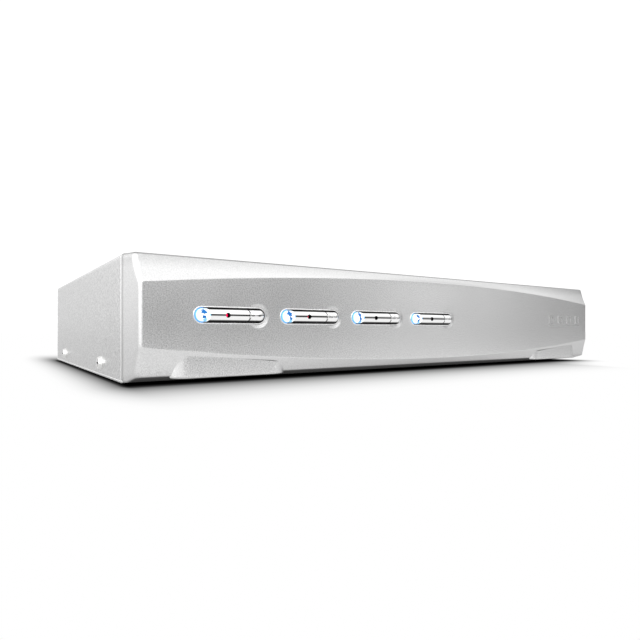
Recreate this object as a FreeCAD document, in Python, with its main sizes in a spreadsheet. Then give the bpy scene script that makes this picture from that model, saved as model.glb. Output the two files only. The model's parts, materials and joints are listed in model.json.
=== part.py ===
import FreeCAD, Part
import os
import re
import Sketcher

# Four-port desktop KVM switch.  Millimetres.
# +X runs along the front face (from its left end to its right end), +Y from the front to the rear, +Z up.
# The origin is the middle of the footprint, on the surface that the rubber feet stand on.
# Inside this file every piece is placed from the seam: y = 0 is the plane where the front bezel meets
# the steel case, x = 0 the middle of the case and z = 0 the underside of the steel.

DIMENSIONS = {
    # steel case
    "case_w": 281.0, "case_d": 167.6, "case_high": 44.0, "sheet_t": 1.0, "bend_r": 1.5, "fit_gap": 0.15,
    "flange_high": 12.0, "rear_flange_high": 7.0, "rear_lip_high": 6.5,
    # rubber feet
    "foot_r": 6.5, "foot_high": 1.0, "foot_inset_x": 16.0, "foot_inset_y": 16.0, "foot_taper": 0.4,
    # front bezel: its ends lean inwards, its face is bounded above and below by shallow arcs
    "bezel_d": 10.0, "bezel_lean": 3.5, "wall_t": 2.8, "end_r": 1.3, "arc_r": 0.4,
    "edge_d": 6.2, "edge_z": 43.84, "edge_r": 0.7, "edge_sag": 0.35,
    "lip_d": 7.3, "lip_z": 2.0, "lip_r": 1.0, "lip_sag": 0.12,
    "face_top_mid": 40.7, "face_top_end": 33.8, "face_low_mid": 4.65, "face_low_end": 12.2,
    # two blocks along the bottom of the bezel, lower towards the middle of the face
    "block_from": 20.4, "block_to": 53.0, "block_front": 9.5, "block_back": 6.9, "block_low": 1.1,
    "block_high_out": 10.0, "block_high_in": 5.25, "block_end_r": 9.0, "block_r": 0.6,
    # raised port mark at the right of the face
    "mark_from": 236.5, "mark_pitch": 9.4, "mark_side": 4.6, "mark_line": 0.7, "mark_proud": 0.3,
    # pill-shaped cut-outs in the face, each with a lens, a bar and a key
    "pill_first": 21.25, "pill_pitch": 34.4, "pill_z": 23.15,
    "rim_len": 28.3, "rim_high": 6.3, "rim_t": 0.45, "rim_proud": 0.2,
    "bar_r": 2.35, "pill_gap": 0.35, "crown_d": 9.75,
    "lens_len": 4.1, "lens_bulge": 0.9, "key_seam": 20.9, "seam_gap": 0.2,
    "dish_r": 4.65, "dish_deep": 0.6,
    "flange_t": 1.1, "flange_high_half": 4.2, "flange_gap": 0.1, "pipe_r": 1.6, "light_gap": 0.8,
    "post_end_r": 1.5,
    # button board and what is soldered to it
    "board_y": 0.5, "board_t": 1.6, "board_left": 14.0, "board_long": 148.0, "board_low": 11.0,
    "board_tall": 24.0, "key_travel": 0.8,
    "tact_side": 6.0, "tact_t": 3.5, "plunger_r": 1.7, "plunger_front": 4.0, "plunger_back": 1.2,
    "led_r": 1.5, "led_low": 2.0, "pin_r": 0.75, "pin_at": 11.4,
    # circuit boards in the case
    "lower_z": 7.0, "upper_z": 21.0, "lower_w": 264.0, "lower_front": 54.0, "upper_w": 258.0,
    "upper_front": 92.0, "board_rear": 164.0, "post_r": 2.6, "post_x": 125.0, "post_y_front": 62.0,
    "post_y_mid": 100.0, "post_y_rear": 140.0, "screw_hole_r": 1.7,
    # rear sockets
    "group_first": -110.0, "group_pitch": 51.0, "video_z": 29.2, "video_flange_w": 30.8,
    "video_flange_high": 12.4, "video_shell_w": 16.6, "video_shell_high": 8.2, "video_proud": 6.0,
    "jack_spacing": 25.0, "jack_af_r": 2.7, "jack_proud": 5.0, "jack_bore_r": 1.25, "jack_bore_deep": 4.0,
    "usb_b_w": 12.0, "usb_b_high": 11.0, "usb_b_long": 16.5, "usb_b_x": -8.0,
    "usb_a_w": 13.6, "usb_a_high": 6.6, "usb_a_long": 14.5,
    "audio_x": 9.0, "audio_r": 3.2, "audio_bore_r": 1.8, "audio_bore_deep": 12.0, "audio_z": 12.6,
    "audio_long": 12.0, "power_x": 126.5, "power_w": 9.0, "power_long": 14.0, "power_r": 3.2,
    "socket_recess": 4.5, "socket_shell_t": 0.5, "socket_proud": 0.5,
    # fasteners
    "m3_r": 1.5, "m3_head_r": 2.75, "m3_head_t": 1.3, "m3_long": 6.0, "side_screw_front": 34.5,
    "side_screw_rear": 133.1, "side_screw_z": 5.0, "rear_screw_top_z": 39.6, "rear_screw_low_z": 4.0,
    "lug_y": 6.0, "lug_screw_long": 5.0,
}

PORTS = (1, 2, 3, 4)
GROUPS = (1, 2, 3, 4, 5)          # four computer groups and the console group
SIDES = (-1, 1)

# Places that follow from the dimensions.
BACK = "(case_d - sheet_t)"                       # inner face of the rear panel
OVERALL_FRONT = "(crown_d + bar_r)"               # how far the crowns stand in front of the seam
SHIFT_Y = f"({OVERALL_FRONT} - case_d - video_proud) / 2"
LOWER_TOP = "(lower_z + board_t)"
UPPER_TOP = "(upper_z + board_t)"
FACE_BACK = "(wall_t - bezel_d)"                  # inner face of the bezel's front wall

doc = FreeCAD.newDocument("kvm_switch")
sheet = doc.addObject("Spreadsheet::Sheet", "dims")
for row, (alias, number) in enumerate(DIMENSIONS.items(), start=1):
    sheet.set(f"A{row}", alias)
    sheet.set(f"B{row}", str(number))
    sheet.setAlias(f"B{row}", alias)
doc.recompute()

ALIAS = re.compile(r"\b(" + "|".join(sorted(DIMENSIONS, key=len, reverse=True)) + r")\b")
NODES = []


def formula(text):
    """Point every dimension named in the text at its cell."""
    return ALIAS.sub(lambda found: "dims." + found.group(1), str(text))


def value(text):
    """The number that a formula gives with the present dimensions."""
    return float(sheet.evalExpression(str(text)))


# ---------------------------------------------------------------- helpers for primitives and booleans

def bind(obj, **sizes):
    for prop, text in sizes.items():
        obj.setExpression(prop, formula(text))


def put(obj, x=0, y=0, z=0, rotation=None):
    if rotation is not None:
        obj.Placement = FreeCAD.Placement(FreeCAD.Vector(0, 0, 0), rotation)
    obj.setExpression("Placement.Base.x", formula(x))
    obj.setExpression("Placement.Base.y", formula(y))
    obj.setExpression("Placement.Base.z", formula(z))
    return obj


def around(centre, half):
    """A pair of coordinates, the given distance to each side of a centre."""
    return (f"({centre}) - ({half})", f"({centre}) + ({half})")


def box(x_range, y_range, z_range, name="block"):
    """A box between pairs of low and high coordinates."""
    obj = doc.addObject("Part::Box", name)
    low_high = (x_range, y_range, z_range)
    for prop, (low, high) in zip(("Length", "Width", "Height"), low_high):
        obj.setExpression(prop, formula(f"({high}) - ({low})"))
    return put(obj, *(pair[0] for pair in low_high))


TURN = {
    "x": FreeCAD.Rotation(FreeCAD.Vector(0, 1, 0), 90),
    "y": FreeCAD.Rotation(FreeCAD.Vector(1, 0, 0), -90),
    "z": FreeCAD.Rotation(),
}


def cylinder(radius, length, base, axis="z", name="rod"):
    obj = doc.addObject("Part::Cylinder", name)
    bind(obj, Radius=radius, Height=length)
    return put(obj, *base, rotation=TURN[axis])


def cone(radius_1, radius_2, length, base, axis="z", name="cone"):
    obj = doc.addObject("Part::Cone", name)
    bind(obj, Radius1=radius_1, Radius2=radius_2, Height=length)
    return put(obj, *base, rotation=TURN[axis])


def sphere(radius, centre, name="ball"):
    obj = doc.addObject("Part::Sphere", name)
    bind(obj, Radius=radius)
    return put(obj, *centre)


def hexagon(radius, length, base, axis="z", name="hexagon"):
    obj = doc.addObject("Part::Prism", name)
    obj.Polygon = 6
    bind(obj, Circumradius=radius, Height=length)
    return put(obj, *base, rotation=TURN[axis])


def fuse(shapes, name="joined"):
    obj = doc.addObject("Part::MultiFuse", name)
    obj.Shapes = shapes
    obj.Refine = True
    return obj


def cut(base, tools, name="trimmed"):
    obj = doc.addObject("Part::Cut", name)
    obj.Base = base
    obj.Tool = tools[0] if len(tools) == 1 else fuse(tools, "tools")
    obj.Refine = True
    return obj


def common(base, tool, name="shared"):
    obj = doc.addObject("Part::Common", name)
    obj.Base = base
    obj.Tool = tool
    obj.Refine = True
    return obj


def stadium(x_low, x_high, half_high, y_low, y_high, z, name="stadium"):
    """A straight slot shape with round ends, standing along Y."""
    long = f"({y_high}) - ({y_low})"
    left = f"({x_low}) + ({half_high})"
    right = f"({x_high}) - ({half_high})"
    middle = box((left, right), (y_low, y_high), around(z, half_high))
    ends = [cylinder(half_high, long, (x, y_low, z), "y") for x in (left, right)]
    return fuse([middle] + ends, name)


def edges_where(obj, test):
    """Numbers of the edges whose end points and middle all pass the test."""
    doc.recompute()
    chosen = []
    for number, edge in enumerate(obj.Shape.Edges, start=1):
        middle = edge.valueAt((edge.FirstParameter + edge.LastParameter) / 2)
        if all(test(point) for point in [middle] + [v.Point for v in edge.Vertexes]):
            chosen.append(number)
    return chosen


def fillet_edges(obj, numbers, radius, name="rounded"):
    """The object with its numbered edges rounded."""
    size = value(radius)
    fillet = doc.addObject("Part::Fillet", name)
    fillet.Base = obj
    fillet.Edges = [(number, size, size) for number in numbers]
    doc.recompute()
    return fillet


def is_along_z(obj, number):
    edge = obj.Shape.Edges[number - 1]
    return abs(edge.tangentAt(edge.FirstParameter).z) > 0.99


# ---------------------------------------------------------------- helpers for bodies and sketches

def new_body(name):
    return doc.addObject("PartDesign::Body", name)


def new_sketch(body, role, offset=None, name="outline"):
    sketch = body.newObject("Sketcher::SketchObject", name)
    plane = next(feature for feature in body.Origin.OriginFeatures if feature.Role == role)
    sketch.AttachmentSupport = [(plane, "")]
    sketch.MapMode = "FlatFace"
    if offset is not None:
        sketch.setExpression("AttachmentOffset.Base.z", formula(offset))
    return sketch


def tie(sketch, kind, geometry, point, text):
    number = sketch.addConstraint(Sketcher.Constraint(kind, -1, 1, geometry, point, 1.0))
    sketch.setExpression(f"Constraints[{number}]", formula(text))


def outline(sketch, points):
    """A closed outline of straight lines, each corner tied to the origin by its two distances."""
    start = sketch.GeometryCount
    count = len(points)
    rough = [FreeCAD.Vector(value(x), value(y), 0) for x, y in points]
    for index in range(count):
        sketch.addGeometry(Part.LineSegment(rough[index], rough[(index + 1) % count]))
    for index in range(count):
        following = start + (index + 1) % count
        sketch.addConstraint(Sketcher.Constraint("Coincident", start + index, 2, following, 1))
    for index, (x, y) in enumerate(points):
        tie(sketch, "DistanceX", start + index, 1, x)
        tie(sketch, "DistanceY", start + index, 1, y)


def rectangle(sketch, x_range, y_range):
    (x_low, x_high), (y_low, y_high) = x_range, y_range
    outline(sketch, [(x_low, y_low), (x_high, y_low), (x_high, y_high), (x_low, y_high)])


def circles(sketch, centres, radius):
    for x, y in centres:
        place = FreeCAD.Vector(value(x), value(y), 0)
        ring = sketch.addGeometry(Part.Circle(place, FreeCAD.Vector(0, 0, 1), value(radius)))
        tie(sketch, "DistanceX", ring, 3, x)
        tie(sketch, "DistanceY", ring, 3, y)
        number = sketch.addConstraint(Sketcher.Constraint("Radius", ring, value(radius)))
        sketch.setExpression(f"Constraints[{number}]", formula(radius))


def pad(body, sketch, length, reverse=False, name="pad"):
    feature = body.newObject("PartDesign::Pad", name)
    feature.Profile = sketch
    feature.Reversed = reverse
    feature.setExpression("Length", formula(length))
    return feature


def pocket_through(body, sketch, name="holes"):
    """Cut the sketch through everything, both ways from its plane."""
    feature = body.newObject("PartDesign::Pocket", name)
    feature.Profile = sketch
    feature.Type = "ThroughAll"
    feature.Midplane = True
    return feature


# ---------------------------------------------------------------- nodes

def node(obj, label):
    """Name a finished sub-part and move it from the seam's frame to the row's frame."""
    obj.Label = label
    obj.setExpression("Placement.Base.y", formula(SHIFT_Y))
    obj.setExpression("Placement.Base.z", formula("foot_high"))
    NODES.append(obj)
    return obj


def group_node(shapes, label):
    """Identical or soldered pieces that share one node, as separate solids."""
    obj = doc.addObject("Part::Compound", label)
    obj.Links = shapes
    return node(obj, label)


# ---------------------------------------------------------------- fasteners

def machine_screw(tip, axis, direction, length="m3_long", head_r="m3_head_r", shank_r="m3_r",
                  head_t="m3_head_t"):
    """A pan-head screw with a cross recess.  tip is where the shank meets the clamped face; the shank
    runs from there along the axis, in the given direction, and the head stands the other way."""
    index = "xyz".index(axis)
    head_base = list(tip)
    shank_base = list(tip)
    if direction > 0:
        head_base[index] = f"({tip[index]}) - {head_t}"
        small, large = f"{head_r} * 0.8", head_r
        recess_low = f"({tip[index]}) - {head_t} - 1"
    else:
        shank_base[index] = f"({tip[index]}) - {length}"
        small, large = head_r, f"{head_r} * 0.8"
        recess_low = f"({tip[index]}) + {head_t} * 0.4"
    recess_high = f"{recess_low} + 1 + {head_t} * 0.6"
    head = cone(small, large, head_t, head_base, axis, "head")
    shank = cylinder(f"{shank_r} - 0.02", length, shank_base, axis, "shank")
    blades = []
    others = [other for other in range(3) if other != index]
    for wide, narrow in (others, others[::-1]):
        ranges = [None, None, None]
        ranges[index] = (recess_low, recess_high)
        ranges[wide] = around(tip[wide], f"{head_r} * 0.55")
        ranges[narrow] = around(tip[narrow], f"{head_r} * 0.13")
        blades.append(box(*ranges, "blade"))
    return cut(fuse([head, shank], "blank"), blades, "screw")


def countersunk_screw(x, y):
    """A screw driven up through the tray, its head flush with the underside."""
    head = cone("m3_head_r - 0.1", "m3_r - 0.02", "sheet_t", (x, y, "0"), name="head")
    shank = cylinder("m3_r - 0.02", "lug_screw_long", (x, y, "0"), name="shank")
    long, short = "m3_head_r * 0.55", "m3_head_r * 0.13"
    blades = [
        box(around(x, half_x), around(y, half_y), ("-1", "sheet_t * 0.6"), "blade")
        for half_x, half_y in ((long, short), (short, long))
    ]
    return cut(fuse([head, shank], "blank"), blades, "screw")


# ---------------------------------------------------------------- steel case

def base_tray():
    half = "(case_w / 2 - sheet_t - fit_gap)"
    floor = box((f"-{half}", half), ("fit_gap", BACK), ("0", "sheet_t"), "tray_floor")
    flanges = [
        box(sorted_pair(side, half, f"({half} - sheet_t)"), ("fit_gap", BACK), ("0", "flange_high"), "flange")
        for side in SIDES
    ]
    rear = box((f"-{half}", half), (f"{BACK} - sheet_t", BACK), ("0", "rear_flange_high"), "rear_flange")
    holes = side_screw_holes() + rear_screw_holes("rear_screw_low_z", rear_low_screw_x())
    holes += [cone("m3_head_r", "m3_r + 0.1", "sheet_t", (x, "lug_y", "0")) for x in lug_x()]
    holes += [cylinder("m3_r + 0.02", "sheet_t * 3", (x, y, "-sheet_t")) for x, y in lower_posts()]
    node(cut(fuse([floor] + flanges + [rear], "tray_blank"), holes, "base_tray"), "base_tray")


def sorted_pair(side, outer, inner):
    """A pair of x coordinates, low then high, for a wall on the left (-1) or right (1)."""
    return (f"-{outer}", f"-{inner}") if side < 0 else (inner, outer)


def side_screw_holes():
    return [
        cylinder("m3_r + 0.1", "case_w + 10", ("-case_w / 2 - 5", y, "side_screw_z"), "x")
        for y in ("side_screw_front", "side_screw_rear")
    ]


def rear_screw_holes(z, places):
    return [cylinder("m3_r + 0.1", "sheet_t * 4", (x, f"{BACK} - sheet_t * 2", z), "y") for x in places]


def rear_low_screw_x():
    return ("-case_w / 2 + 14", "0", "case_w / 2 - 14")


def rear_top_screw_x():
    return ("-case_w / 2 + 14", "-case_w / 6", "case_w / 6", "case_w / 2 - 14")


def top_cover():
    body = new_body("top_cover")
    sketch = new_sketch(body, "XZ_Plane", name="cover_section")
    outer = "case_w / 2"
    inner = "(case_w / 2 - sheet_t)"
    under = "(case_high - sheet_t)"
    outline(sketch, [
        (f"-{outer}", "0"), (f"-{outer}", "case_high"), (outer, "case_high"), (outer, "0"),
        (inner, "0"), (inner, under), (f"-{inner}", under), (f"-{inner}", "0"),
    ])
    shell = pad(body, sketch, "case_d", reverse=True, name="folded_sheet")
    doc.recompute()
    tall = value("case_high")
    half = value("case_w / 2")
    corners = edges_where(shell, lambda p: abs(abs(p.x) - half) < 0.01 and abs(p.z - tall) < 0.01)
    bends = body.newObject("PartDesign::Fillet", "bends")
    bends.Base = (shell, [f"Edge{number}" for number in corners if is_along_y(shell, number)])
    bends.setExpression("Radius", formula("bend_r"))
    lip_sketch = new_sketch(body, "XZ_Plane", f"-({BACK} - sheet_t)", "rear_lip_section")
    rectangle(lip_sketch, (f"-{inner}", inner), (f"{under} - rear_lip_high", under))
    pad(body, lip_sketch, "sheet_t", reverse=True, name="rear_lip")
    side_holes = new_sketch(body, "YZ_Plane", name="side_hole_centres")
    circles(side_holes, [("side_screw_front", "side_screw_z"), ("side_screw_rear", "side_screw_z")],
            "m3_r + 0.1")
    pocket_through(body, side_holes, "side_holes")
    lip_holes = new_sketch(body, "XZ_Plane", f"-({BACK} - sheet_t / 2)", "lip_hole_centres")
    circles(lip_holes, [(x, "rear_screw_top_z") for x in rear_top_screw_x()], "m3_r + 0.1")
    body.Tip = pocket_through(body, lip_holes, "lip_holes")
    node(body, "top_cover")


def is_along_y(obj, number):
    direction = obj.Shape.Edges[number - 1].tangentAt(obj.Shape.Edges[number - 1].FirstParameter)
    return abs(direction.y) > 0.99


def group_x(group):
    return f"(group_first + {group - 1} * group_pitch)"


def jack_x(group):
    """x of the two jackscrews beside a video socket."""
    return around(group_x(group), "jack_spacing / 2")


def usb_a_x():
    return (f"({group_x(5)} - 15)", f"({group_x(5)} + 1)")


def rear_panel():
    body = new_body("rear_panel")
    sketch = new_sketch(body, "XZ_Plane", f"-({BACK})", "panel_outline")
    inner = "(case_w / 2 - sheet_t - fit_gap)"
    rectangle(sketch, (f"-{inner}", inner), ("fit_gap", "case_high - sheet_t - fit_gap"))
    pad(body, sketch, "sheet_t", reverse=True, name="plate")
    openings = new_sketch(body, "XZ_Plane", f"-({BACK})", "socket_openings")
    for group in GROUPS:
        centre = group_x(group)
        rectangle(openings, around(centre, "video_shell_w / 2 + 0.4"),
                  around("video_z", "video_shell_high / 2 + 0.4"))
        circles(openings, [(place, "video_z") for place in jack_x(group)], "m3_r + 0.1")
    for port in PORTS:
        left = f"({group_x(port)} + usb_b_x - usb_b_w / 2)"
        rectangle(openings, (f"{left} - 0.2", f"{left} + usb_b_w + 0.2"),
                  (f"{LOWER_TOP} - 0.2", f"{LOWER_TOP} + usb_b_high + 0.2"))
    for centre in usb_a_x():
        rectangle(openings, around(centre, "usb_a_w / 2 + 0.2"),
                  (f"{LOWER_TOP} - 0.2", f"{LOWER_TOP} + usb_a_high + 0.2"))
    circles(openings, [(audio_x(group), "audio_z") for group in GROUPS], "audio_r + 0.2")
    circles(openings, [("power_x", power_z())], "power_w / 2 + 0.2")
    pocket_through(body, openings, "socket_holes")
    screws = new_sketch(body, "XZ_Plane", f"-({BACK})", "screw_centres")
    circles(screws, [(x, "rear_screw_top_z") for x in rear_top_screw_x()], "m3_r + 0.1")
    circles(screws, [(x, "rear_screw_low_z") for x in rear_low_screw_x()], "m3_r + 0.1")
    body.Tip = pocket_through(body, screws, "screw_holes")
    node(body, "rear_panel")


def case_screws():
    side = []
    for sign, face in zip(SIDES, ("-case_w / 2", "case_w / 2")):
        for y in ("side_screw_front", "side_screw_rear"):
            side.append(machine_screw((face, y, "side_screw_z"), "x", -sign))
    group_node(side, "cover_side_screws")
    places = [(x, "rear_screw_top_z") for x in rear_top_screw_x()]
    places += [(x, "rear_screw_low_z") for x in rear_low_screw_x()]
    group_node([machine_screw((x, "case_d", z), "y", -1, "4") for x, z in places], "rear_panel_screws")


def rubber_feet():
    feet = []
    for x in ("foot_inset_x - case_w / 2", "case_w / 2 - foot_inset_x"):
        for y in ("foot_inset_y", "case_d - foot_inset_y"):
            feet.append(cone("foot_r - foot_taper", "foot_r", "foot_high", (x, y, "-foot_high"), name="foot"))
    group_node(feet, "rubber_feet")


# ---------------------------------------------------------------- front bezel

def edge_section(x, arc_z, upper):
    """Closed outline, in the plane at x, of what is cut off above or below the front face."""
    depth = value("edge_d") if upper else value("lip_d")
    corner_z = value("edge_z") if upper else value("lip_z")
    sag = value("edge_sag") if upper else value("lip_sag")
    corner = FreeCAD.Vector(x, -depth, corner_z)
    face = FreeCAD.Vector(x, -value("bezel_d"), arc_z)
    middle = (corner + face) / 2
    along = face - corner
    inward = FreeCAD.Vector(0, -along.z, along.y).normalize()
    if inward.y < 0:
        inward = -inward
    hollow = Part.Arc(corner, middle + inward * sag, face).toShape()
    front = -value("bezel_d") - 4
    if upper:
        rest = [face, (x, front, arc_z), (x, front, 60), (x, corner.y, 60), corner]
    else:
        behind = FreeCAD.Vector(x, 1, -corner_z / depth)
        rest = [face, (x, front, arc_z), (x, front, -10), (x, 1, -10), behind, corner]
    return Part.Wire([hollow] + Part.makePolygon([FreeCAD.Vector(*point) for point in rest]).Edges)


def face_edge_cutter(upper):
    """The space above or below the face: three sections, so that the face's edge is a parabola."""
    half = value("case_w / 2") + 2
    reach = half / (value("case_w / 2") - value("bezel_lean"))
    middle_z = value("face_top_mid") if upper else value("face_low_mid")
    end_z = value("face_top_end") if upper else value("face_low_end")
    outer_z = middle_z + (end_z - middle_z) * reach ** 2
    sections = [edge_section(-half, outer_z, upper), edge_section(0, middle_z, upper),
                edge_section(half, outer_z, upper)]
    cutter = doc.addObject("Part::Feature", "above_face" if upper else "below_face")
    cutter.Shape = Part.makeLoft(sections, True, False)
    return cutter


def bezel_block():
    """The bezel's outer form, solid: leaning ends, sloped top and bottom edges, rounded corners."""
    wedge = doc.addObject("Part::Wedge", "bezel_prism")
    bind(wedge, Xmin="-(case_w / 2 - bezel_lean)", Xmax="case_w / 2 - bezel_lean", X2min="-case_w / 2",
         X2max="case_w / 2", Ymin="-bezel_d", Ymax="0", Zmin="-1", Zmax="edge_z", Z2min="-1", Z2max="edge_z")
    sloped = cut(wedge, [face_edge_cutter(True), face_edge_cutter(False)], "sloped")
    half = value("case_w / 2")
    lean = value("bezel_lean / bezel_d")

    def on_end(point):
        return abs(half + lean * point.y - abs(point.x)) < 0.02 and point.y < 0.5

    def behind_seam(point):
        return point.y > -0.01

    doc.recompute()
    ends = [n for n in edges_where(sloped, on_end) if n not in edges_where(sloped, behind_seam)]
    def at_depth(depth):
        found = edges_where(sloped, lambda point: abs(point.y + value(depth)) < 0.01)
        return [number for number in found if number not in ends]

    fillet = doc.addObject("Part::Fillet", "bezel_solid")
    fillet.Base = sloped
    sizes = [(ends, "end_r"), (at_depth("edge_d"), "edge_r"), (at_depth("lip_d"), "lip_r"),
             (at_depth("bezel_d"), "arc_r")]
    fillet.Edges = [(number, value(size), value(size)) for group, size in sizes for number in group]
    doc.recompute()
    return fillet


def bezel_feet():
    """The two blocks that stand out of the lower slope, with rounded ends and a falling top."""
    blocks = []
    for side in SIDES:
        outer, inner = f"(case_w / 2 - block_from + block_end_r)", f"(case_w / 2 - block_to - block_end_r)"
        low_x, high_x = sorted_pair(side, outer, inner)
        first_high, last_high = ("block_high_out", "block_high_in")[::-side]
        block = doc.addObject("Part::Wedge", "bezel_foot")
        back = "block_front - block_end_r - 0.4"
        bind(block, Xmin=back, Xmax="block_front", X2min=back, X2max="block_front", Ymin=low_x, Ymax=high_x,
             Zmin="block_low", Zmax=first_high, Z2min="block_low", Z2max=last_high)
        put(block, rotation=FreeCAD.Rotation(FreeCAD.Vector(0, 0, 1), -90))
        front = value("block_front")
        low = value("block_low")

        def at_front_corner(point, front=front):
            return abs(point.y + front) < 0.01

        upright = [n for n in edges_where(block, at_front_corner) if is_along_z(block, n)]
        ends = fillet_edges(block, upright, "block_end_r", "bezel_foot_ends")
        behind_ends = -front + value("block_end_r") - 0.01

        def along_bottom(point, low=low, limit=behind_ends):
            return abs(point.z - low) < 0.01 and point.y < limit

        bottom = edges_where(ends, along_bottom)
        eased = fillet_edges(ends, bottom, "block_r", "bezel_foot_eased")
        behind = box((f"{low_x} - 5", f"{high_x} + 5"), ("-block_back", "5"), ("0", "block_high_out + 1"))
        blocks.append(cut(eased, [behind], "bezel_foot_trimmed"))
    return blocks


def pill_left(port):
    """x of the left end of a port's rim."""
    return f"(pill_first - case_w / 2 + {port - 1} * pill_pitch)"


def pill_start(port):
    return f"({pill_left(port)} + rim_t + pill_gap)"


def pill_end(port):
    return f"({pill_left(port)} + rim_len - rim_t - pill_gap)"


def pill_rims():
    rims = []
    for port in PORTS:
        left = pill_left(port)
        right = f"({left} + rim_len)"
        crest = stadium(f"{left} + rim_proud / 2", f"{right} - rim_proud / 2",
                        "(rim_high / 2 - rim_proud / 2)", "-bezel_d - rim_proud", "-bezel_d + 0.1", "pill_z")
        hole = stadium(f"{left} + rim_t", f"{right} - rim_t", "(rim_high / 2 - rim_t)",
                       "-bezel_d - 2", f"{FACE_BACK} + 2", "pill_z")
        rims.append(cut(fuse([rim_block(port), crest], "rim_blank"), [hole], "rim"))
    return rims


def rim_block(port):
    """The full thickness of the wall inside the outer line of a rim."""
    left = pill_left(port)
    return stadium(left, f"{left} + rim_len", "(rim_high / 2)", "-bezel_d", FACE_BACK, "pill_z")


def finger_dishes():
    radius = "((dish_r * dish_r + dish_deep * dish_deep) / (2 * dish_deep))"
    return [
        sphere(radius, (f"{pill_end(port)} - bar_r", f"-bezel_d - {radius} + dish_deep", "pill_z"), "dish")
        for port in PORTS
    ]


def port_mark():
    """A plain raised pictogram: four small squares, one for each port, over one long bar."""
    pieces = []
    y_range = ("-bezel_d - mark_proud", "-bezel_d + 0.5")
    low = "(pill_z - 1.2)"
    start = "(mark_from - case_w / 2)"
    for port in PORTS:
        left = f"({start} + {port - 1} * mark_pitch)"
        plate = box((left, f"{left} + mark_side"), y_range, (low, f"{low} + mark_side"))
        middle = box((f"{left} + mark_line", f"{left} + mark_side - mark_line"), around("-bezel_d", 1),
                     (f"{low} + mark_line", f"{low} + mark_side - mark_line"))
        pieces.append(cut(plate, [middle], "mark_square"))
    pieces.append(box((start, f"{start} + 3 * mark_pitch + mark_side"), y_range,
                      (f"{low} - 2", f"{low} - 2 + mark_line"), "mark_bar"))
    return pieces


def lug_x():
    return ("-case_w / 3", "case_w / 3")


def board_boss_places():
    left = "(board_left - case_w / 2 + 4)"
    right = "(board_left - case_w / 2 + board_long - 4)"
    return [(x, z) for x in (left, right) for z in ("board_low + 3.5", "board_low + board_tall - 3.5")]


def front_bezel():
    solid = fuse([bezel_block()] + bezel_feet(), "bezel_outer")
    half = "(case_w / 2 - bezel_lean - 4)"
    deep_pocket = box((f"-{half}", half), (FACE_BACK, "1"), ("14", "34"), "deep_pocket")
    middle_pocket = box((f"-{half} + 40", f"{half} - 40"), (FACE_BACK, "1"), ("10", "37"), "middle_pocket")
    rear_pocket = box((f"-{half}", half), ("-edge_d + 2.4", "1"), ("5", "41.2"), "rear_pocket")
    slots = [rim_block(port) for port in PORTS]
    shell = cut(solid, [deep_pocket, middle_pocket, rear_pocket] + slots + finger_dishes(), "bezel_shell")
    bosses = [cylinder("2.8", f"board_y - {FACE_BACK} + 0.5", (x, f"{FACE_BACK} - 0.5", z), "y", "board_boss")
              for x, z in board_boss_places()]
    lugs = [box((f"{x} - 5", f"{x} + 5"), ("-edge_d + 1.5", "lug_y + 5"), ("sheet_t", "7"), "lug")
            for x in lug_x()]
    full = fuse([shell] + pill_rims() + bosses + lugs + port_mark(), "bezel_full")
    pilots = [cylinder("1.15", "8", (x, "board_y - 6.5", z), "y", "pilot") for x, z in board_boss_places()]
    pilots += [cylinder("m3_r", "lug_screw_long + 0.2", (x, "lug_y", "0"), name="pilot") for x in lug_x()]
    node(cut(full, pilots, "front_bezel"), "front_bezel")


# ---------------------------------------------------------------- lenses, bars and keys of the face

def crown(x_low, x_high, round_left=False, round_right=False):
    """A stretch of the pill: half-round in front, flat-sided behind, with a ball end where asked."""
    left = f"({x_low}) + bar_r" if round_left else x_low
    right = f"({x_high}) - bar_r" if round_right else x_high
    z_range = around("pill_z", "bar_r")
    pieces = [
        cylinder("bar_r", f"({right}) - ({left})", (left, "-crown_d", "pill_z"), "x", "crown"),
        box((left, right), ("-crown_d", FACE_BACK), z_range, "stem"),
    ]
    for wanted, x in ((round_left, left), (round_right, right)):
        if wanted:
            pieces.append(sphere("bar_r", (x, "-crown_d", "pill_z"), "crown_end"))
            pieces.append(cylinder("bar_r", f"crown_d + {FACE_BACK}", (x, "-crown_d", "pill_z"), "y", "end"))
    return pieces


def back_flange(x_low, x_high, gap="0"):
    """The plate behind the wall that is wider than the cut-out."""
    front = f"{FACE_BACK} + {gap}"
    z_range = around("pill_z", "flange_high_half")
    return box((x_low, x_high), (front, f"{front} + flange_t"), z_range, "flange")


def lens_side(port):
    """Everything on the lens's side of the bulging joint between a port's lens and its bar."""
    joint = f"({pill_start(port)} + lens_len)"
    radius = "((bar_r * bar_r + lens_bulge * lens_bulge) / (2 * lens_bulge))"
    long = "(crown_d + bar_r + 2)"
    bulge_x = f"({joint} + lens_bulge - {radius})"
    return fuse([
        box((f"{joint} - 20", joint), (f"-{long}", "1"), around("pill_z", 8), "lens_half"),
        cylinder(radius, f"{long} + 1", (bulge_x, f"-{long}", "pill_z"), "y", "bulge"),
    ], "lens_side")


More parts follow.
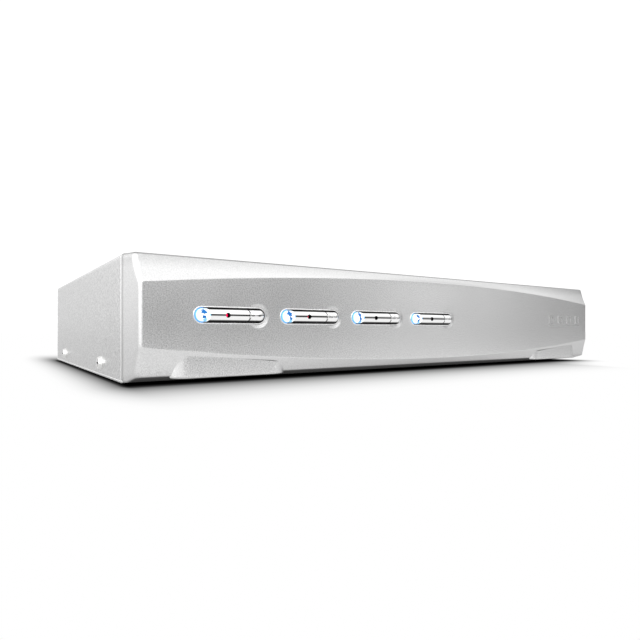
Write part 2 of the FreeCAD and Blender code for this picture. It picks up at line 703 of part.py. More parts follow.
def face_pieces():
    for port in PORTS:
        start = pill_start(port)
        end = pill_end(port)
        seam = f"({pill_left(port)} + key_seam)"
        stretch = crown(start, f"{seam} - seam_gap", round_left=True)
        stretch.append(back_flange(f"{start} - 1.5", f"{seam} - 2"))
        whole = fuse(stretch, "lens_and_bar")

        lens = common(whole, lens_side(port), "lens_crown")
        pipe_long = f"-light_gap - ({FACE_BACK})"
        pipe = cylinder("pipe_r", pipe_long, (f"{start} + bar_r", FACE_BACK, "pill_z"), "y", "pipe")
        node(fuse([lens, pipe], f"port_lens_{port}"), f"port_lens_{port}")

        pin_front = (f"{start} + pin_at", "-crown_d - bar_r - 1", "pill_z")
        pinhole = cylinder("pin_r + 0.05", "crown_d + bar_r", pin_front, "y", "pinhole")
        node(cut(whole, [lens_side(port), pinhole], f"indicator_bar_{port}"), f"indicator_bar_{port}")

        middle = f"({end} - bar_r)"
        front = f"{FACE_BACK} + flange_gap"
        neck = box((seam, middle), (f"{FACE_BACK} - 0.1", front), around("pill_z", "bar_r"), "neck")
        post = cylinder("post_end_r", f"-plunger_front - ({front})", (middle, front, "pill_z"), "y", "post")
        flange = back_flange(f"{seam} - 1.2", f"{end} + 1.6", "flange_gap")
        key = crown(seam, end, round_right=True) + [neck, post, flange]
        node(fuse(key, f"select_key_{port}"), f"select_key_{port}")


def key_x(port):
    return f"({pill_end(port)} - bar_r)"


# ---------------------------------------------------------------- button board

def button_board():
    body = new_body("button_board")
    sketch = new_sketch(body, "XZ_Plane", "-board_y", "board_outline")
    left = "(board_left - case_w / 2)"
    rectangle(sketch, (left, f"{left} + board_long"), ("board_low", "board_low + board_tall"))
    circles(sketch, board_boss_places(), "1.3")
    body.Tip = pad(body, sketch, "board_t", reverse=True, name="board")
    node(body, "button_board")

    board_back = "(board_y + board_t)"
    screws = [machine_screw((x, board_back, z), "y", -1, "5.5", "2.1", "1.1", "1.2")
              for x, z in board_boss_places()]
    group_node(screws, "button_board_screws")

    switches = []
    well_long = "tact_t - board_y - plunger_back + key_travel + 0.3"
    for port in PORTS:
        x = key_x(port)
        housing = box(around(x, "tact_side / 2"), ("board_y - tact_t", "board_y"),
                      around("pill_z", "tact_side / 2"), "housing")
        well = cylinder("plunger_r + 0.15", well_long, (x, "board_y - tact_t - 0.1", "pill_z"), "y", "well")
        switches.append(cut(housing, [well], "tact_housing"))
        plunger = cylinder("plunger_r", "plunger_front - plunger_back", (x, "-plunger_front", "pill_z"), "y")
        group_node([plunger], f"switch_plunger_{port}")
    group_node(switches, "tact_switches")

    blue = []
    red = []
    dome_front = "5.3"
    tip_front = "(crown_d + bar_r - led_low)"
    for port in PORTS:
        x = f"({pill_start(port)} + bar_r)"
        blue.append(box(around(x, 1.6), ("board_y - 1.1", "board_y"), around("pill_z", 0.8)))
        x = f"({pill_start(port)} + pin_at)"
        dome = cylinder("led_r", f"board_y + {dome_front}", (x, f"-{dome_front}", "pill_z"), "y", "led_body")
        tip_long = f"{tip_front} - {dome_front} + 0.1"
        tip = cylinder("pin_r", tip_long, (x, f"-{tip_front}", "pill_z"), "y", "led_tip")
        red.append(fuse([dome, tip], "status_led"))
    group_node(blue, "port_leds")
    group_node(red, "status_leds")


# ---------------------------------------------------------------- circuit boards

def lower_posts():
    return [(x, y) for x in ("-post_x", "0", "post_x") for y in ("post_y_front", "post_y_mid", "post_y_rear")]


def stacked_posts():
    """Posts between the two boards stand on the same places as those below them."""
    return [(x, y) for x, y in lower_posts() if y != "post_y_front"]


def circuit_boards():
    for label, wide, front, low, holes in (
        ("lower_board", "lower_w", "lower_front", "lower_z", lower_posts()),
        ("upper_board", "upper_w", "upper_front", "upper_z", stacked_posts()),
    ):
        body = new_body(label)
        sketch = new_sketch(body, "XY_Plane", low, label + "_outline")
        rectangle(sketch, (f"-({wide}) / 2", f"({wide}) / 2"), (front, "board_rear"))
        circles(sketch, holes, "screw_hole_r")
        body.Tip = pad(body, sketch, "board_t", name=label + "_plate")
        node(body, label)


def board_posts():
    tray = []
    for x, y in lower_posts():
        stud = hexagon("post_r", "lower_z - sheet_t", (x, y, "sheet_t"))
        shank = cylinder("m3_r", "sheet_t + 1", (x, y, "0"))
        bore = cylinder("m3_r + 0.1", "lower_z", (x, y, "sheet_t + 0.6"))
        tray.append(cut(fuse([stud, shank], "stud_blank"), [bore], "standoff"))
    group_node(tray, "tray_standoffs")
    middle = []
    for x, y in stacked_posts():
        stud = hexagon("post_r", f"upper_z - {LOWER_TOP}", (x, y, LOWER_TOP))
        thread = cylinder("m3_r - 0.02", "board_t + 4", (x, y, f"{LOWER_TOP} - board_t - 4"))
        bore = cylinder("m3_r + 0.1", "8", (x, y, "upper_z - 7"))
        middle.append(cut(fuse([stud, thread], "post"), [bore], "spacer"))
    group_node(middle, "board_spacers")
    screws = [machine_screw((x, y, UPPER_TOP), "z", -1, "5.5") for x, y in stacked_posts()]
    front_posts = [(x, y) for x, y in lower_posts() if y == "post_y_front"]
    screws += [machine_screw((x, y, LOWER_TOP), "z", -1, "5") for x, y in front_posts]
    group_node(screws, "board_screws")
    group_node([countersunk_screw(x, "lug_y") for x in lug_x()], "bezel_screws")


# ---------------------------------------------------------------- rear sockets

def video_shell(x):
    """The D-shaped metal shell of a 15-pin socket, standing out of the rear panel."""
    shell = doc.addObject("Part::Wedge", "d_shell")
    half = "video_shell_w / 2"
    taper = "1.2"
    bind(shell, Xmin=f"{x} - {half} + {taper}", Xmax=f"{x} + {half} - {taper}", X2min=f"{x} - {half}",
         X2max=f"{x} + {half}", Ymin="0", Ymax="video_shell_high", Zmin="0", Zmax="sheet_t + video_proud",
         Z2min="0", Z2max="sheet_t + video_proud")
    upright = FreeCAD.Rotation(FreeCAD.Vector(1, 0, 0), 90)
    return put(shell, 0, "case_d + video_proud", "video_z - video_shell_high / 2", upright)


def video_sockets():
    for group in GROUPS:
        x = group_x(group)
        body = box(around(x, "video_flange_w / 2"), (f"{BACK} - 9.5", f"{BACK} - 0.8"),
                   (UPPER_TOP, "video_z + 4.2"), "body")
        flange = box(around(x, "video_flange_w / 2"), (f"{BACK} - 0.8", BACK),
                     around("video_z", "video_flange_high / 2"), "flange")
        holes = [
            cylinder("m3_r + 0.1", "14", (place, f"{BACK} - 12", "video_z"), "y") for place in jack_x(group)
        ]
        name = "console_video_socket" if group == 5 else f"pc_video_socket_{group}"
        node(cut(fuse([body, flange, video_shell(x)], "socket"), holes, name), name)

    jacks = []
    bore_base = "case_d + jack_proud - jack_bore_deep"
    for group in GROUPS:
        for place in jack_x(group):
            head = hexagon("jack_af_r", "jack_proud", (place, "case_d", "video_z"), "y")
            thread = cylinder("m3_r", "7", (place, "case_d - 7", "video_z"), "y")
            bore = cylinder("jack_bore_r", "jack_bore_deep + 1", (place, bore_base, "video_z"), "y")
            jacks.append(cut(fuse([head, thread], "jack_blank"), [bore], "jackscrew"))
    group_node(jacks, "video_jackscrews")


def shelled_socket(x, wide, high, long, tongue_z, tongue_high, tongue_w, name):
    """A rectangular socket on the lower board: metal shell, insulating back and a contact tongue."""
    mouth = "(case_d + socket_proud)"
    low = LOWER_TOP
    block = box(around(x, f"{wide} / 2"), (f"{mouth} - {long}", mouth), (low, f"{low} + {high}"))
    cavity = box(around(x, f"{wide} / 2 - socket_shell_t"), (f"{mouth} - {long} + 3", f"{mouth} + 1"),
                 (f"{low} + socket_shell_t", f"{low} + {high} - socket_shell_t"))
    tongue = box(around(x, f"{tongue_w} / 2"), (f"{mouth} - {long} + 2", f"{mouth} - socket_recess"),
                 (f"{low} + {tongue_z}", f"{low} + {tongue_z} + {tongue_high}"))
    node(fuse([cut(block, [cavity], "shell"), tongue], name), name)


def audio_x(group):
    return f"(group_first + {group - 1} * group_pitch + audio_x)" if group < 5 else f"({group_x(5)} + 17)"


def power_z():
    return f"({LOWER_TOP} + power_w / 2 + 0.6)"


def low_sockets():
    for port in PORTS:
        x = f"({group_x(port)} + usb_b_x)"
        shelled_socket(x, "usb_b_w", "usb_b_high", "usb_b_long", "3.9", "3.2", "5.6", f"pc_usb_socket_{port}")
    for number, x in enumerate(usb_a_x(), start=1):
        name = f"console_usb_socket_{number}"
        shelled_socket(x, "usb_a_w", "usb_a_high", "usb_a_long", "3.3", "1.9", "11", name)
    group_node([audio_jack(audio_x(group)) for group in GROUPS], "audio_jacks")
    power_jack()


def audio_jack(x):
    back = f"({BACK} - 1)"
    block = box(around(x, 4), (f"{back} - audio_long", back), (LOWER_TOP, "audio_z + 3.6"))
    barrel = cylinder("audio_r", "4", (x, f"{back} - 1", "audio_z"), "y")
    bore_base = (x, f"{back} + 3 - audio_bore_deep", "audio_z")
    bore = cylinder("audio_bore_r", "audio_bore_deep + 1", bore_base, "y")
    return cut(fuse([block, barrel], "jack_blank"), [bore], "audio_jack")


def power_jack():
    mouth = "(case_d + socket_proud)"
    block = box(around("power_x", "power_w / 2"), (f"{mouth} - power_long", f"{BACK} - 0.2"),
                (LOWER_TOP, f"{power_z()} + power_w / 2"))
    nose = cylinder("power_w / 2", "4", ("power_x", f"{mouth} - 4", power_z()), "y")
    well = cylinder("power_r", "10.5", ("power_x", f"{mouth} - 9.5", power_z()), "y")
    pin = cylinder("1.05", "5.5", ("power_x", f"{mouth} - 10", power_z()), "y")
    shell = cut(fuse([block, nose], "power_blank"), [well], "power_shell")
    node(fuse([shell, pin], "dc_power_jack"), "dc_power_jack")


# ---------------------------------------------------------------- components on the boards

def chip(x, y, z, side, tall, name="chip"):
    return box(around(x, side / 2), around(y, side / 2), (z, f"{z} + {tall}"), name)


def heat_sink(x, y, base):
    """A finned plate that covers the chip it is glued to."""
    side = 24
    fin_t = 1.5
    fin_count = 6
    pitch = (side - fin_t) / (fin_count - 1)
    pieces = [chip(f"{x}", f"{y}", base, side, 2.0)]
    for index in range(fin_count):
        middle = x - side / 2 + fin_t / 2 + index * pitch
        fin_z = (f"{base} + 1.4", f"{base} + 7.9")
        pieces.append(box(around(middle, fin_t / 2), around(y, side / 2), fin_z, "fin"))
    node(fuse(pieces, "chip_heat_sink"), "chip_heat_sink")


def components():
    chip_y = 118
    buffer_x = 90
    group_node([chip("-62", "78", LOWER_TOP, 14, 1.6)], "controller_chip")
    group_node([chip("-14", "78", LOWER_TOP, 10, 1.4)], "usb_hub_chip")
    group_node([chip(group_x(port), chip_y, UPPER_TOP, 12, 1.5) for port in PORTS], "video_switch_chips")
    group_node([chip(buffer_x, chip_y, UPPER_TOP, 15, 1.6)], "video_buffer_chip")
    heat_sink(buffer_x, chip_y, f"{UPPER_TOP} + 1.6")
    cans = [cylinder("4", "11", (f"{x}", "70", LOWER_TOP), name="can") for x in (56, 68, 80)]
    group_node(cans, "power_capacitors")
    group_node([chip("100", "72", LOWER_TOP, 12, 6)], "power_inductor")
    can = stadium("-46", "-35", "2.2", "72", "75.5", f"({LOWER_TOP} + 2.2)", "clock_can")
    group_node([can], "clock_crystal")
    group_node([box(("-40", "-8"), ("96", "101"), (LOWER_TOP, "upper_z"), "header")], "board_link_header")


def ribbon():
    """The flat cable from the button board back and down to the lower board."""
    centre_x = -60
    header_half = 10
    header_deep = 6
    drop_y = 60.5
    level = 21.5
    bend = 4.0
    half_wide, half_thick = 9, 0.45
    board_back = "(board_y + board_t)"
    group_node([
        box(around(centre_x, header_half), (board_back, f"{board_back} + {header_deep}"), around(level, 3.5)),
        box(around(centre_x, header_half), around(drop_y, 3.5), (LOWER_TOP, f"{LOWER_TOP} + {header_deep}")),
    ], "ribbon_headers")
    start = value(f"{board_back} + {header_deep}")
    low = value(f"{LOWER_TOP} + {header_deep}")

    def point(y, z, x=0):
        return FreeCAD.Vector(centre_x + x, y, z)

    bend_start = point(drop_y - bend, level)
    bend_end = point(drop_y, level - bend)
    cos_45 = 0.5 ** 0.5
    bend_middle = point(drop_y - bend + bend * cos_45, level - bend + bend * cos_45)
    path = Part.Wire([
        Part.LineSegment(point(start, level), bend_start).toShape(),
        Part.Arc(bend_start, bend_middle, bend_end).toShape(),
        Part.LineSegment(bend_end, point(drop_y, low)).toShape(),
    ])
    ring = ((-1, -1), (1, -1), (1, 1), (-1, 1), (-1, -1))
    corners = [point(start, level + z * half_thick, x * half_wide) for x, z in ring]
    section = Part.Wire(Part.makePolygon(corners).Edges)
    cable = doc.addObject("Part::Feature", "front_ribbon_cable")
    cable.Shape = path.makePipeShell([section], True, False)
    node(cable, "front_ribbon_cable")


# ---------------------------------------------------------------- build, check and write

base_tray()
top_cover()
rear_panel()
case_screws()
rubber_feet()
front_bezel()
face_pieces()
button_board()
circuit_boards()
board_posts()
video_sockets()
low_sockets()
components()
ribbon()
doc.recompute()

for obj in doc.Objects:
    if "Invalid" in obj.State or "Error" in obj.State:
        raise RuntimeError(f"{obj.Name} ({obj.Label}) failed: {obj.State}")
for obj in NODES:
    if obj.Shape.isNull() or not obj.Shape.isValid() or obj.Shape.Volume <= 0:
        raise RuntimeError(f"{obj.Label} has no valid shape")

os.makedirs("parts", exist_ok=True)
for obj in NODES:
    obj.Shape.exportStep(f"parts/{obj.Label}.step")
    print(f"{obj.Label}: {len(obj.Shape.Solids)} solid(s), {obj.Shape.Volume:.1f} mm3")
print(len(NODES), "nodes")
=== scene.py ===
import json
import math

import bmesh
import bpy
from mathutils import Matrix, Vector


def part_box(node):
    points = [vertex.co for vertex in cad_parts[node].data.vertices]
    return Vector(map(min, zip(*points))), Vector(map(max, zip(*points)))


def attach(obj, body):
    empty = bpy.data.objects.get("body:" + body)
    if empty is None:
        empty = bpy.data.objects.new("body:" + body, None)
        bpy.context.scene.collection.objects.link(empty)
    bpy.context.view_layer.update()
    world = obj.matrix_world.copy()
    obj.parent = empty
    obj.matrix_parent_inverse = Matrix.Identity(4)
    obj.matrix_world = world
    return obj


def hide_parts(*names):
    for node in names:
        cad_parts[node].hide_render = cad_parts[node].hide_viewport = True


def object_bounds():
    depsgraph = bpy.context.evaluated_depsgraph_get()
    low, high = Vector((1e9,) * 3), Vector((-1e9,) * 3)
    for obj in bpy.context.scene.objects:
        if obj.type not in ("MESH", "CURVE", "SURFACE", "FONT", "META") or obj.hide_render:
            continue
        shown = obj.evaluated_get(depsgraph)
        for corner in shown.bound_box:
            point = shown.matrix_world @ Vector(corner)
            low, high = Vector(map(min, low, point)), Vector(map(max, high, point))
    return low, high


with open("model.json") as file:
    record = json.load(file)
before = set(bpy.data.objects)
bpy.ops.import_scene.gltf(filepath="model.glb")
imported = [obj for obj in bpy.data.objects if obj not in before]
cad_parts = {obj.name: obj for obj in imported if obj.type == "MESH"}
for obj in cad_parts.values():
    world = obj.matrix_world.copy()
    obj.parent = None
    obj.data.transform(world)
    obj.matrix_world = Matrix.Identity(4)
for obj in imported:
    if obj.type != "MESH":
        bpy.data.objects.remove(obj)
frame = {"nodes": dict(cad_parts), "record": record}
CAD_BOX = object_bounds()
NODES = frame["nodes"]

MM = 0.001


# ---------------------------------------------------------------- measured places, from the frame

cover_low, cover_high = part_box("top_cover")
SEAM_Y = cover_low.y                     # plane where the bezel meets the steel
LEFT_X = cover_low.x                     # left side of the case
STEEL_Z = cover_low.z                    # underside of the steel
FLOOR_Z = CAD_BOX[0].z
FACE_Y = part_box("front_bezel")[0].y      # front of the bezel
BEZEL_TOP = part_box("front_bezel")[1].z
BACK_Y = cover_high.y                    # back of the case
END_X = CAD_BOX[1].x                     # right end of the widest piece; the left end mirrors it
TOP_Z = CAD_BOX[1].z
BEND_R = 1.5 * MM                        # outer radius of the cover's bends

lens_low, lens_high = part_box("port_lens_1")
PITCH = (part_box("port_lens_4")[0].x - lens_low.x) / 3
PILL_Z = (lens_low.z + lens_high.z) / 2
LENS_R = 2.35 * MM                       # radius of a pill's round ends
FLANGE_BESIDE = 1.6 * MM                 # how far a lens's hidden flange goes past its round end
LENS_X = lens_low.x + FLANGE_BESIDE + LENS_R
KEY_X = LENS_X + 22.0 * MM               # middle of the round end of the first key
SEAM_X = LENS_X + 17.75 * MM             # where the first bar meets its key
PIN_X = LENS_X + 9.05 * MM               # the first bar's red lamp
RIM_AT = 1.245                           # middle of a pill's rim, in pill radii from the middle line
BLOCK_X = 118.0 * MM                     # outer ends of the two blocks under the face

WHITE = (1.0, 1.0, 1.0)
PALE_BLUE = (0.66, 0.86, 1.0)
SKY_BLUE = (0.20, 0.52, 0.90)
DEEP_BLUE = (0.005, 0.12, 0.38)
LAMP_RED = (1.0, 0.0, 0.08)


# ---------------------------------------------------------------- node helpers

class NodeTree:
    """A node tree under construction, with short ways to add nodes."""

    def __init__(self, tree):
        self.tree = tree

    def add(self, kind, **settings):
        node = self.tree.nodes.new(kind)
        for key, setting in settings.items():
            setattr(node, key, setting)
        return node

    def link(self, source, target):
        self.tree.links.new(source, target)

    def supply(self, value, socket):
        """Give a socket a number, or another node's output."""
        if isinstance(value, (int, float)):
            socket.default_value = value
        else:
            self.link(value, socket)

    def math(self, operation, *values):
        node = self.add("ShaderNodeMath", operation=operation)
        for value, socket in zip(values, node.inputs):
            self.supply(value, socket)
        return node.outputs[0]

    def off(self, value, middle):
        """How far a value is from a middle one, either way."""
        return self.math("ABSOLUTE", self.math("SUBTRACT", value, middle))

    def product(self, first, *factors):
        for factor in factors:
            first = self.math("MULTIPLY", first, factor)
        return first

    def largest(self, first, *others):
        for other in others:
            first = self.math("MAXIMUM", first, other)
        return first

    def span(self, factor, low, high, from_low=0.0, from_high=1.0):
        """Low up to from_low, high past from_high, and evenly between them on the way."""
        node = self.add("ShaderNodeMapRange")
        node.inputs["From Min"].default_value = from_low
        node.inputs["From Max"].default_value = from_high
        self.supply(low, node.inputs["To Min"])
        self.supply(high, node.inputs["To Max"])
        self.link(factor, node.inputs["Value"])
        return node.outputs["Result"]

    def ramp(self, factor, stops):
        node = self.add("ShaderNodeValToRGB")
        elements = node.color_ramp.elements
        while len(elements) < len(stops):
            elements.new(0.5)
        for element, (position, colour) in zip(elements, stops):
            element.position = position
            element.color = (*colour, 1.0)
        self.link(factor, node.inputs["Fac"])
        return node.outputs["Color"]

    def blend(self, factor, colour, fixed):
        """The colour where the factor is 0, and the fixed one where it is 1."""
        node = self.add("ShaderNodeMix", data_type="RGBA")
        first, second = (socket for socket in node.inputs if socket.type == "RGBA")
        self.link(factor, node.inputs["Factor"])
        self.link(colour, first)
        second.default_value = (*fixed, 1.0)
        return next(socket for socket in node.outputs if socket.type == "RGBA")

    def split(self, vector):
        node = self.add("ShaderNodeSeparateXYZ")
        self.link(vector, node.inputs[0])
        return node.outputs["X"], node.outputs["Y"], node.outputs["Z"]


class Recipe(NodeTree):
    """A material under construction: its shader, the place on the piece, and nodes that feed it."""

    def __init__(self, name, **sockets):
        self.material = bpy.data.materials.new(name)
        self.material.use_nodes = True
        super().__init__(self.material.node_tree)
        self.shader = self.tree.nodes["Principled BSDF"]
        self.place = self.add("ShaderNodeTexCoord").outputs["Object"]
        self.x, self.y, self.z = self.split(self.place)
        for socket, number in sockets.items():
            self.shader.inputs[socket.replace("_", " ")].default_value = number

    def noise(self, scale, detail=2.0, roughness=0.5):
        node = self.add("ShaderNodeTexNoise")
        node.inputs["Scale"].default_value = scale
        node.inputs["Detail"].default_value = detail
        node.inputs["Roughness"].default_value = roughness
        self.link(self.place, node.inputs["Vector"])
        return node.outputs["Fac"]

    def eased_edges(self, radius):
        """A normal that turns smoothly round sharp edges, so that they catch the light."""
        node = self.add("ShaderNodeBevel", samples=12)
        self.link(radius, node.inputs["Radius"])
        return node.outputs["Normal"]

    def bump(self, height, strength, distance, normal=None):
        node = self.add("ShaderNodeBump")
        if normal:
            self.link(normal, node.inputs["Normal"])
        node.inputs["Strength"].default_value = strength
        node.inputs["Distance"].default_value = distance
        self.link(height, node.inputs["Height"])
        self.link(node.outputs["Normal"], self.shader.inputs["Normal"])

    def tinted(self, colour, factor):
        """The colour multiplied by a factor."""
        node = self.add("ShaderNodeVectorMath", operation="SCALE")
        self.link(colour, node.inputs[0])
        self.link(factor, node.inputs["Scale"])
        return node.outputs["Vector"]

    def openness(self, reach_mm):
        """1 on open faces, falling towards 0 in gaps narrower than the reach."""
        node = self.add("ShaderNodeAmbientOcclusion", samples=16)
        node.inputs["Distance"].default_value = reach_mm * MM
        return node.outputs["AO"]

    def feed(self, source, socket):
        self.link(source, self.shader.inputs[socket])


def grey(level):
    return (level, level, level)


def around_each(recipe, first_x):
    """The place relative to the same point of the nearest of the four pills, in pill radii."""
    from_first = recipe.math("SUBTRACT", recipe.x, first_x)
    across = recipe.math("DIVIDE", recipe.math("WRAP", from_first, PITCH / 2, -PITCH / 2), LENS_R)
    up = recipe.math("DIVIDE", recipe.math("SUBTRACT", recipe.z, PILL_Z), LENS_R)
    return across, up


def distance_from(recipe, across, up, centre=(0.0, 0.0)):
    join = recipe.add("ShaderNodeCombineXYZ")
    recipe.link(recipe.math("SUBTRACT", across, centre[0]), join.inputs["X"])
    recipe.link(recipe.math("SUBTRACT", up, centre[1]), join.inputs["Y"])
    length = recipe.add("ShaderNodeVectorMath", operation="LENGTH")
    recipe.link(join.outputs[0], length.inputs[0])
    return length.outputs["Value"]


def from_pill(recipe, raised=0.0):
    """Distance from the middle line of the nearest pill, in its radii. raised lifts that line."""
    middle, up = around_each(recipe, (LENS_X + KEY_X) / 2)
    half_long = (KEY_X - LENS_X) / 2 / LENS_R
    past_end = recipe.math("SUBTRACT", recipe.math("ABSOLUTE", middle), half_long)
    return distance_from(recipe, recipe.largest(past_end, 0.0), up, (0.0, raised))


# ---------------------------------------------------------------- silver lacquer

SLOPE_SPECKLE = 0.35                     # strength of the speckle on faces that don't look ahead
END_ZONE = 5 * MM                        # how far in from the case's ends,
TOP_ZONE = 2.6 * MM                      # down from its top
BLOCK_ZONE = 6 * MM                      # and to either side of a block's end its edges are softened more
BLOCK_TOP = 12 * MM                      # height that the blocks stay under


def speckle_ahead(recipe, flakes):
    """The flakes, weaker on faces that don't look straight ahead or back."""
    normal = recipe.add("ShaderNodeNewGeometry").outputs["True Normal"]
    ahead = recipe.math("ABSOLUTE", recipe.split(normal)[1])
    strength = recipe.span(ahead, SLOPE_SPECKLE, 1.0, 0.96, 0.99)
    contrast = recipe.product(recipe.math("SUBTRACT", flakes, 0.5), strength)
    return recipe.math("ADD", contrast, 0.5)


def with_rim_highlights(recipe, shade, rim_highlight):
    """The shade, raised to a painted highlight along the rim round each pill's cut-out."""
    row_middle = (LENS_X + KEY_X + 3 * PITCH) / 2
    row_half = KEY_X + 3 * PITCH - row_middle + 2 * LENS_R
    in_row = recipe.math("LESS_THAN", recipe.off(recipe.x, row_middle), row_half)
    # painted highlight: how much the paint is lightened along each cut-out's rim
    lit = recipe.product(in_row, rim_highlight)
    from_rim = recipe.off(from_pill(recipe), RIM_AT)
    return recipe.largest(shade, recipe.span(from_rim, lit, 0.0, 0.09, 0.12))


def with_painted_top_shade(recipe, shade):
    """The shade, with painted shade: a little darker near the bezel's top edge and much darker right along
    it.
    """
    near = recipe.span(recipe.z, 1.0, 0.84, BEZEL_TOP - 5 * MM, BEZEL_TOP - MM)
    along = recipe.span(recipe.z, 1.0, 0.5, BEZEL_TOP - 0.7 * MM, BEZEL_TOP - 0.4 * MM)
    return recipe.product(shade, near, along)


def edge_radius(recipe, edges):
    """Radius of the softened edges, by where on the case they are."""
    end_edge, top_edge, block_edge, other_edge = (radius * MM for radius in edges)
    beside = recipe.math("ABSOLUTE", recipe.x)
    end_from, top_from = END_X - END_ZONE, TOP_Z - TOP_ZONE
    at_end = recipe.span(beside, other_edge, end_edge, end_from - MM, end_from)
    at_top = recipe.span(recipe.z, other_edge, top_edge, top_from - 0.4 * MM, top_from)
    off_block = recipe.off(beside, BLOCK_X)
    across = recipe.span(off_block, block_edge, other_edge, BLOCK_ZONE, BLOCK_ZONE + MM)
    at_block = recipe.span(recipe.z, across, other_edge, BLOCK_TOP, BLOCK_TOP + 0.5 * MM)
    return recipe.largest(at_end, at_top, at_block)


def silver_paint(name, level, flake_mm, contrast, gaps, edges, rim_highlight=0.0):
    """Fine-flake silver lacquer: bright flakes, a slow cloudiness, eased edges and painted shade in narrow
    gaps.

    gaps is the reach in mm of the painted shade and the openness where it ends and starts.
    edges is the radius in mm of the edges at the case's left and right ends, of those along its
    top, of the blocks' outer ends, and of all others. The last argument is given for the bezel only: how
    much the rim round each pill's cut-out is lightened as a painted highlight; with it the bezel's top
    also gets painted shade.
    """
    recipe = Recipe(name, Metallic=0.9, Coat_Weight=0.1, Coat_Roughness=0.3)
    flakes = recipe.noise(1.0 / (flake_mm * MM), detail=2.0, roughness=0.6)
    reach, closed, clear = gaps
    # painted shade: the base colour darkens where the surface is closed in, in gaps and near the floor
    shade = recipe.span(recipe.openness(reach), 0.02, 1.0, closed, clear)
    speckle = flakes
    relief = 0.1
    if rim_highlight:
        speckle = speckle_ahead(recipe, flakes)
        # painted highlight round the pills' cut-outs and painted shade along the bezel's top
        shade = with_painted_top_shade(recipe, with_rim_highlights(recipe, shade, rim_highlight))
        relief = 0.05
    dark = grey(level * (1 - contrast))
    light = grey(level * (1 + contrast))
    paint = recipe.ramp(speckle, [(0.36, dark), (0.64, light)])
    recipe.feed(recipe.tinted(paint, shade), "Base Color")
    cloud = recipe.noise(60.0, detail=2.0)
    recipe.feed(recipe.span(cloud, 0.26, 0.34), "Roughness")
    recipe.bump(flakes, relief, 0.02 * MM, recipe.eased_edges(edge_radius(recipe, edges)))
    return recipe.material


# ---------------------------------------------------------------- plating, plastics, metals and lamps

LINE_UP = 0.04                           # height of the painted reflection line along the plating's middle, in pill radii
HOLE_EDGE = (0.35, 0.36)                 # where the lamp's matte hole ends, in pill radii
PLASTIC_GRAIN = 0.3 * MM
LENS_CELL = 0.9 * MM                     # size of the facets in a lens


def painted_seam_shade(recipe, from_seam, up):
    """Painted shade: 0 along two short curved marks, above and below the middle, where the bar meets its
    key.
    """
    bent = recipe.math("ADD", from_seam, recipe.product(recipe.math("POWER", up, 2.0), 0.42))
    mark = recipe.span(recipe.off(bent, 0.1), 0.0, 1.0, 0.06, 0.14)
    return recipe.largest(mark, recipe.span(recipe.math("ABSOLUTE", up), 1.0, 0.0, 0.3, 0.5))


def chrome(name, ripple, broken):
    """Bright plating with painted dark lines: painted shade round the pill, at the seam and round the
    lamp, and a painted reflection along its middle.

    ripple in mm is how far its surface is from true; broken is how far the painted reflection along its
    middle breaks up.
    """
    recipe = Recipe(name, Metallic=1.0)
    smear = recipe.noise(300.0, detail=2.0)
    plating = recipe.ramp(smear, [(0.0, grey(0.92)), (1.0, grey(0.98))])
    # painted shade: the plating darkens in the gaps round it
    painted_gap_shade = recipe.span(recipe.openness(1.2), 0.0, 1.0, 0.3, 0.7)
    # painted shade and painted dark reflection along the pill's edge
    outline = recipe.span(from_pill(recipe, LINE_UP), 1.0, 0.02, 0.74, 0.84)
    from_seam, up = around_each(recipe, SEAM_X)
    wander = recipe.product(recipe.noise(1600.0, detail=1.0), broken)
    from_line = recipe.math("ADD", recipe.off(up, LINE_UP), wander)
    # painted reflection of the dim horizon: a grey line along the middle
    painted_horizon_reflection = recipe.span(from_line, 0.10, 1.0, 0.09, 0.17)
    from_lamp = distance_from(recipe, *around_each(recipe, PIN_X))
    # painted shade: black in the lamp's hole and in a thin ring round it
    lamp_hole_shade = recipe.span(from_lamp, 0.0, 1.0, 0.36, 0.41)
    shade = recipe.product(painted_gap_shade, outline, painted_horizon_reflection, painted_seam_shade(recipe, from_seam, up), lamp_hole_shade)
    recipe.feed(recipe.tinted(plating, shade), "Base Color")
    recipe.feed(recipe.span(from_lamp, 1.0, recipe.span(smear, 0.03, 0.07), *HOLE_EDGE), "Roughness")
    recipe.feed(recipe.span(from_lamp, 0.0, 1.0, *HOLE_EDGE), "Metallic")
    recipe.feed(recipe.span(from_lamp, 0.0, 0.5, *HOLE_EDGE), "Specular IOR Level")
    recipe.bump(recipe.noise(900.0, detail=1.0), 1.0, ripple * MM)
    return recipe.material


def plain_plastic(name, colour, roughness):
    """Moulded plastic or rubber with a fine grain."""
    recipe = Recipe(name)
    grain = recipe.noise(1.0 / PLASTIC_GRAIN, detail=3.0)
    dark = tuple(channel * 0.85 for channel in colour)
    light = tuple(min(1.0, channel * 1.15) for channel in colour)
    recipe.feed(recipe.ramp(grain, [(0.3, dark), (0.7, light)]), "Base Color")
    recipe.feed(recipe.span(grain, roughness - 0.05, roughness + 0.05), "Roughness")
    recipe.bump(grain, 0.15, 0.03 * MM)
    return recipe.material


def plain_metal(name, colour, roughness, recess_mm=0.8):
    """Bare or plated metal, with painted shade in recesses narrower than about that width."""
    recipe = Recipe(name, Metallic=1.0)
    wear = recipe.noise(900.0, detail=4.0, roughness=0.6)
    dark = tuple(channel * 0.9 for channel in colour)
    # painted shade in recesses, such as screw slots
    shade = recipe.span(recipe.openness(recess_mm), 0.0, 1.0, 0.3, 0.7)
    recipe.feed(recipe.tinted(recipe.ramp(wear, [(0.3, dark), (0.7, colour)]), shade), "Base Color")
    recipe.feed(recipe.span(wear, roughness - 0.06, roughness + 0.06), "Roughness")
    return recipe.material


